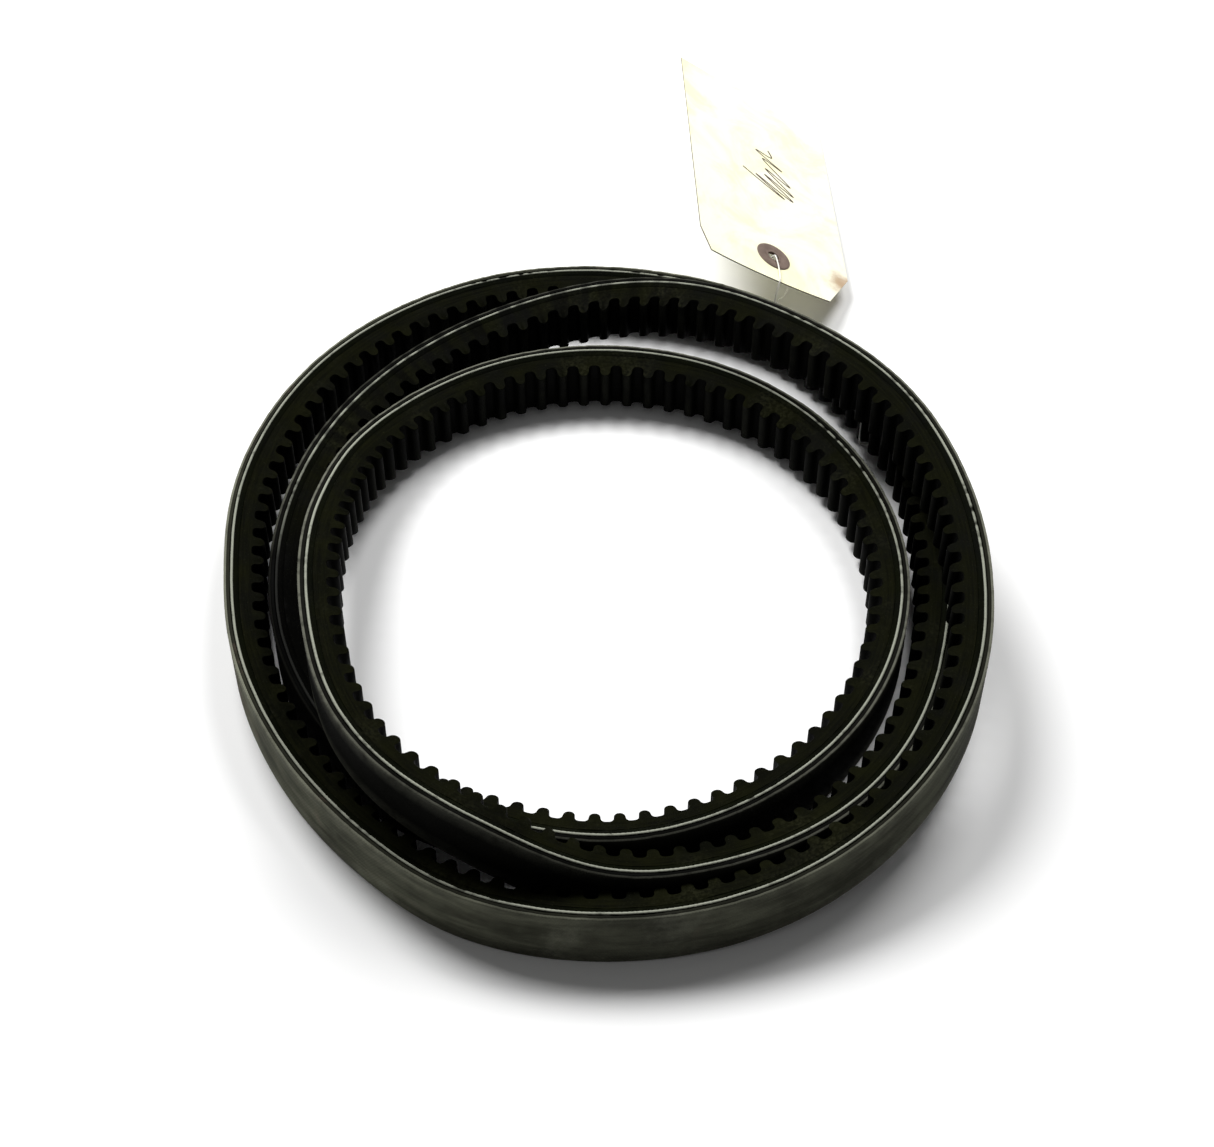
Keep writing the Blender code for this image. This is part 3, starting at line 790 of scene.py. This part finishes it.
def card_sheet():
    """Flat card as a bmesh: an even grid with clipped corners and a round hole."""
    half, near, far = TAG_WIDTH / 2, -TAG_HOLE_INSET, TAG_LENGTH - TAG_HOLE_INSET
    # the grid stops at a square of this reach round the hole, and rings lead down to it
    cell, reach, rings, last_row, tiny = 0.002, 0.006, 3, 0.0001, 1e-6
    xs = sorted({-half, half, *(cell * k for k in range(-16, 17))})
    ys = sorted({near, far, *(cell * k for k in range(-7, 60)), far - last_row})
    flat = bmesh.new()
    grid = {}
    for i, x in enumerate(xs):
        for j, y in enumerate(ys):
            if max(abs(x), abs(y)) < reach - tiny:
                continue
            grid[i, j] = flat.verts.new((x, y, 0))
    for i in range(len(xs) - 1):
        for j in range(len(ys) - 1):
            square = [(i, j), (i + 1, j), (i + 1, j + 1), (i, j + 1)]
            middle = ((xs[i] + xs[i + 1]) / 2, (ys[j] + ys[j + 1]) / 2)
            if max(abs(middle[0]), abs(middle[1])) < reach:
                continue
            flat.faces.new([grid[c] for c in square])
    border = [v for v in grid.values() if max(abs(v.co.x), abs(v.co.y)) < reach + tiny]
    border.sort(key=lambda v: math.atan2(v.co.y, v.co.x))
    last = border
    for k in range(1, rings + 1):
        t = k / rings
        ring = []
        for v in border:
            out = v.co.normalized() * TAG_HOLE_RADIUS
            ring.append(flat.verts.new(v.co.lerp(out, t)))
        for a in range(len(border)):
            b = (a + 1) % len(border)
            flat.faces.new((last[a], last[b], ring[b], ring[a]))
        last = ring
    for side in (-1, 1):
        across, along = TAG_CLIPS[side]
        corner = Vector((side * (half - across / 2), near + along / 2, 0))
        outward = Vector((side * along, -across, 0)).normalized()
        everything = flat.verts[:] + flat.edges[:] + flat.faces[:]
        bmesh.ops.bisect_plane(flat, geom=everything, plane_co=corner, clear_outer=True,
                               plane_no=outward, dist=1e-7)
    return flat


def tag_card(paper, edge):
    flat = card_sheet()
    flat.verts.index_update()
    plan = [(v.co.x, v.co.y) for v in flat.verts]
    sheets = [[v.index for v in f.verts] for f in flat.faces]
    rim = [[v.index for v in e.verts] for e in flat.edges if len(e.link_faces) == 1]
    flat.free()
    n, t = len(plan), TAG_THICKNESS / 2
    verts = [tag_point(x, y, t) for x, y in plan] + [tag_point(x, y, -t) for x, y in plan]
    faces = sheets + [[k + n for k in reversed(f)] for f in sheets]
    faces += [(a, b, b + n, a + n) for a, b in rim]
    mesh = bpy.data.meshes.new("tag_card_shown")
    mesh.from_pydata(verts, [], faces)
    bm = bmesh.new()
    bm.from_mesh(mesh)
    bmesh.ops.recalc_face_normals(bm, faces=bm.faces)
    bm.to_mesh(mesh)
    bm.free()
    obj = link(mesh, "tag_card_shown", [paper, edge])
    index = np.zeros(len(mesh.polygons), np.int32)
    index[2 * len(sheets):] = 1
    mesh.polygons.foreach_set("material_index", index)
    return obj


def fibre_patch(name, side, mat):
    """Washer with a rolled edge and a pressed ring round the hole."""
    gap, thick, around = 0.00002, 0.00038, 72
    base = TAG_THICKNESS / 2 + gap
    top = base + thick
    hole, rim = TAG_HOLE_RADIUS, PATCH_RADIUS
    profile = [(hole - 0.00012, base), (hole - 0.00018, top - 0.0001), (hole, top),
               (hole + 0.0005, top - 0.00002), (hole + 0.0008, top - 0.00012),
               (hole + 0.0011, top - 0.00012), (hole + 0.0014, top - 0.00003),
               (rim - 0.0006, top - 0.00003), (rim - 0.00015, top - 0.0001),
               (rim, base + 0.00012), (rim - 0.00003, base)]
    verts = []
    for r, h in profile:
        for k in range(around):
            a = 2 * math.pi * k / around
            verts.append(tuple(tag_point(r * math.cos(a), r * math.sin(a), side * h)))
    mesh = quad_mesh(name, np.array(verts), ring_quads(len(profile), around))
    return link(mesh, name, [mat], sharp=50.0)


def smooth_line(points, per_span):
    """Catmull-Rom curve through the points, in per_span steps from each to the next."""
    ends = [points[0], *points, points[-1]]
    out = []
    for i in range(len(points) - 1):
        p0, p1, p2, p3 = ends[i:i + 4]
        for k in range(per_span):
            t = k / per_span
            out.append(0.5 * (
                2 * p1 + (p2 - p0) * t + (2 * p0 - 5 * p1 + 4 * p2 - p3) * t**2
                + (3 * p1 - p0 - 3 * p2 + p3) * t**3
            ))
    out.append(points[-1])
    return out


def pen_scribble(mat):
    """One idle zigzag scribble in pen on the card, no letters."""
    turns = ((-0.0083, 0.0565), (0.0100, 0.0448), (-0.0024, 0.0553), (0.0140, 0.0452),
             (0.0020, 0.0575), (0.0146, 0.0490), (0.0028, 0.0622), (0.0138, 0.0552),
             (0.0022, 0.0690), (0.0110, 0.0650), (-0.0004, 0.0738), (0.0066, 0.0722),
             (0.0056, 0.0768))
    half_width, lift = 0.00036, 0.00002
    line = smooth_line([Vector((u, v, 0)) for u, v in turns], 10)
    points = [tag_point(p.x, p.y, TAG_THICKNESS / 2 + lift) for p in line]
    return tube("tag_pen_scribble", points, half_width, 8, mat, flat=TAG_UP)


# ---- string ------------------------------------------------------------------------------
def at(base, normal, depth, level):
    """A point at a depth inwards from the back face, at a level above the table."""
    x, y = base - normal * depth
    return Vector((x, y, level)) + COIL_AXIS


def beside_strand(angle_deg, off, level):
    """A point off the back face of the strand, at a level above the table."""
    p, n, _ = path_at(np.array([angle_deg]))
    return at(p[0], n[0], -off, level)


def string_route():
    """The string's own points, from its knot behind the strand, as in the solids."""
    p, n, z = path_at(np.array([STRING_TIE_ANGLE]))
    off = STRING_RADIUS + STRING_CLEARANCE

    def tie(depth, level):
        return at(p[0], n[0], depth, float(z[0]) + level)

    def coil(x, y, h):
        return Vector((x, y, h)) + COIL_AXIS

    hole = TAG_MATRIX.translation
    tip = BELT_THICKNESS
    return [
        beside_strand(140.2, 0.0012, 0.0065),
        beside_strand(138.6, 0.0016, 0.0022),
        beside_strand(136, 0.0024, 0.0006),
        beside_strand(131, 0.0032, 0.0004),
        beside_strand(126, 0.0036, 0.0004),
        beside_strand(121.5, 0.0046, 0.0008),
        coil(0.0675, 0.1464, 0.0048),
        # slack run under the card, up through the hole
        coil(0.0668, 0.1488, 0.0112),
        coil(0.0692, 0.1535, 0.0094),
        coil(0.0716, 0.1588, 0.0102),
        coil(0.0694, 0.1622, 0.0148),
        hole - TAG_UP * 0.0024 + Vector((0.0006, 0.0004, 0)),
        hole + TAG_UP * 0.0014 + Vector((0, -0.0006, 0)),
        # over the patch and the card's near edge, then down
        tag_point(0.0008, -0.0058, 0.0014),
        tag_point(0.0012, -0.0118, 0.0010),
        tag_point(0.0010, -0.0158, 0.0004),
        coil(0.0656, 0.1452, 0.0165),
        coil(0.0655, 0.1462, 0.0108),
        coil(0.0660, 0.1462, 0.0045),
        beside_strand(122.6, 0.0026, 0.0006),
        beside_strand(127, 0.0018, 0.0004),
        beside_strand(132, 0.0014, 0.0004),
        beside_strand(137, 0.0012, 0.0004),
        beside_strand(140.6, 0.0010, 0.0005),
        # once round the strand
        tie(0.0002, -off * 1.1),
        tie(0.0045, low(0.0045) - off),
        tie(tip - 0.0014, low(tip) - off * 1.5),
        tie(tip + off, low(tip) + 0.0014),
        tie(tip + off, high(tip) - 0.0014),
        tie(tip - 0.0014, high(tip) + off * 1.5),
        tie(0.0045, high(0.0045) + off),
        tie(0.0006, BELT_WIDTH + off),
        tie(-off, BELT_WIDTH - 0.0012),
        tie(-off, 0.0130),
        tie(-off - 0.0002, 0.0078),
    ]


def twine(name, points, mat, radius=STRING_RADIUS, lobe=0.28, closed=False):
    return tube(name, points, radius, 10, mat, closed, lobes=2, lobe=lobe, lay=STRING_LAY)


def tag_string(mat):
    line = smooth_line(string_route(), 28)
    string = twine("tag_string_shown", line, mat)
    # overhand knot where both ends meet, with two short tails
    middle = (line[0] + line[-1]) / 2
    knot, knot_size = [], 0.00042
    for t in np.linspace(0, 2 * math.pi, 90, endpoint=False):
        knot.append(middle + knot_size * Vector((
            math.sin(t) + 2 * math.sin(2 * t),
            -0.9 * math.sin(3 * t),
            math.cos(t) - 2 * math.cos(2 * t),
        )))
    bow = twine("tag_string_knot", knot, mat, lobe=0.25, closed=True)
    tails = []
    for k, lean in enumerate((Vector((0.0026, 0.0022, -0.0016)), Vector((0.0012, 0.0030, 0.0020)))):
        route = [middle, middle + lean * 0.5, middle + lean + Vector((0, 0, -0.0012)),
                 middle + lean * 1.5 + Vector((0, 0, -0.0032))]
        name = f"tag_string_tail_{k + 1}"
        tails.append(twine(name, smooth_line(route, 12), mat, radius=STRING_RADIUS * 0.95))
    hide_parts("tag_string")
    for piece in (string, bow, *tails):
        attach(piece, "belt")


# ---- stage -------------------------------------------------------------------------------
def make_stage():
    mesh = bpy.data.meshes.new("floor")
    far = 8
    corners = [(-far, -far, 0), (far, -far, 0), (far, far, 0), (-far, far, 0)]
    mesh.from_pydata(corners, [], [(0, 1, 2, 3)])
    mesh.materials.append(table_top())
    floor = bpy.data.objects.new("floor", mesh)
    floor.location.z = -0.0001          # just below the belt's lower edge
    bpy.context.scene.collection.objects.link(floor)


def area_light(name, place, aim, size, power):
    data = bpy.data.lights.new(name, "AREA")
    data.shape = "DISK"
    data.size = size
    data.energy = power
    light = bpy.data.objects.new(name, data)
    light.location = place
    light.rotation_mode = "QUATERNION"
    light.rotation_quaternion = (Vector(aim) - Vector(place)).to_track_quat("-Z", "Y")
    bpy.context.scene.collection.objects.link(light)


def make_light():
    world = bpy.data.worlds.new("world")
    world.use_nodes = True
    background = world.node_tree.nodes["Background"]
    background.inputs["Color"].default_value = (1.0, 1.0, 1.0, 1.0)
    background.inputs["Strength"].default_value = 0.14
    bpy.context.scene.world = world
    middle = (0.0, -0.03, 0.0)
    area_light("key_left", (-0.52, 0.66, 1.25), middle, size=0.75, power=23.5)
    area_light("key_right", (0.50, 0.74, 1.25), middle, size=0.75, power=14.5)
    bpy.context.scene.view_settings.view_transform = "Standard"


# ---- build -------------------------------------------------------------------------------
def build_belt():
    fabric = backing_fabric(
        "backing_fabric", (0.042, 0.043, 0.030), (0.165, 0.170, 0.124), (0.31, 0.315, 0.25))
    under = backing_fabric(
        "inner_fabric", (0.010, 0.0105, 0.007), (0.026, 0.027, 0.018), (0.06, 0.06, 0.045))
    gum = cut_rubber(
        "adhesion_rubber", (0.0008, 0.0011, 0.0003), (0.0030, 0.0038, 0.0010),
        (0.010, 0.0105, 0.005))
    cut = cut_rubber(
        "compression_rubber", (0.0012, 0.0014, 0.0003), (0.0052, 0.0056, 0.0015),
        (0.015, 0.0155, 0.007))
    yarn = cord_yarn()
    rows = (
        (outer_ply(fabric), "back_fabric_outer", "backing_fabric"),
        (inner_ply(under), "back_fabric_inner", "backing_fabric"),
        (gum_layer(gum), "adhesion_gum", "adhesion_rubber"),
        (cord_line("belt_cord_upper", True, yarn, sides=10, step=0.00055),
         "tensile_cord_band", "tensile_cord"),
        (cord_line("belt_cord_lower", False, yarn, sides=8, step=0.0009),
         "tensile_cord_band", "tensile_cord"),
        (cog_layer(cut, moulded_rubber()), "cog_body", "compression_rubber"),
    )
    for piece, node, slot in rows:
        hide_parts(node)
        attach(piece, "belt")


def build_tag():
    # middle of the brown painted shade at the card's near right corner
    corner = tag_point(TAG_WIDTH / 2 - 0.002, -TAG_HOLE_INSET + 0.0135, 0)
    fibre = red_fibre()
    rows = (
        (tag_card(manila_card(corner), card_edge()), "tag_card", "manila_card"),
        (fibre_patch("tag_patch_top_shown", 1, fibre), "tag_patch_top", "red_fibre"),
        (fibre_patch("tag_patch_under_shown", -1, fibre), "tag_patch_under", "red_fibre"),
    )
    for piece, node, slot in rows:
        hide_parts(node)
        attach(piece, "tag")
    scribble = pen_scribble(ink())
    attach(scribble, "tag")


make_camera()
tag_string(cotton())
build_belt()
build_tag()
make_stage()
make_light()
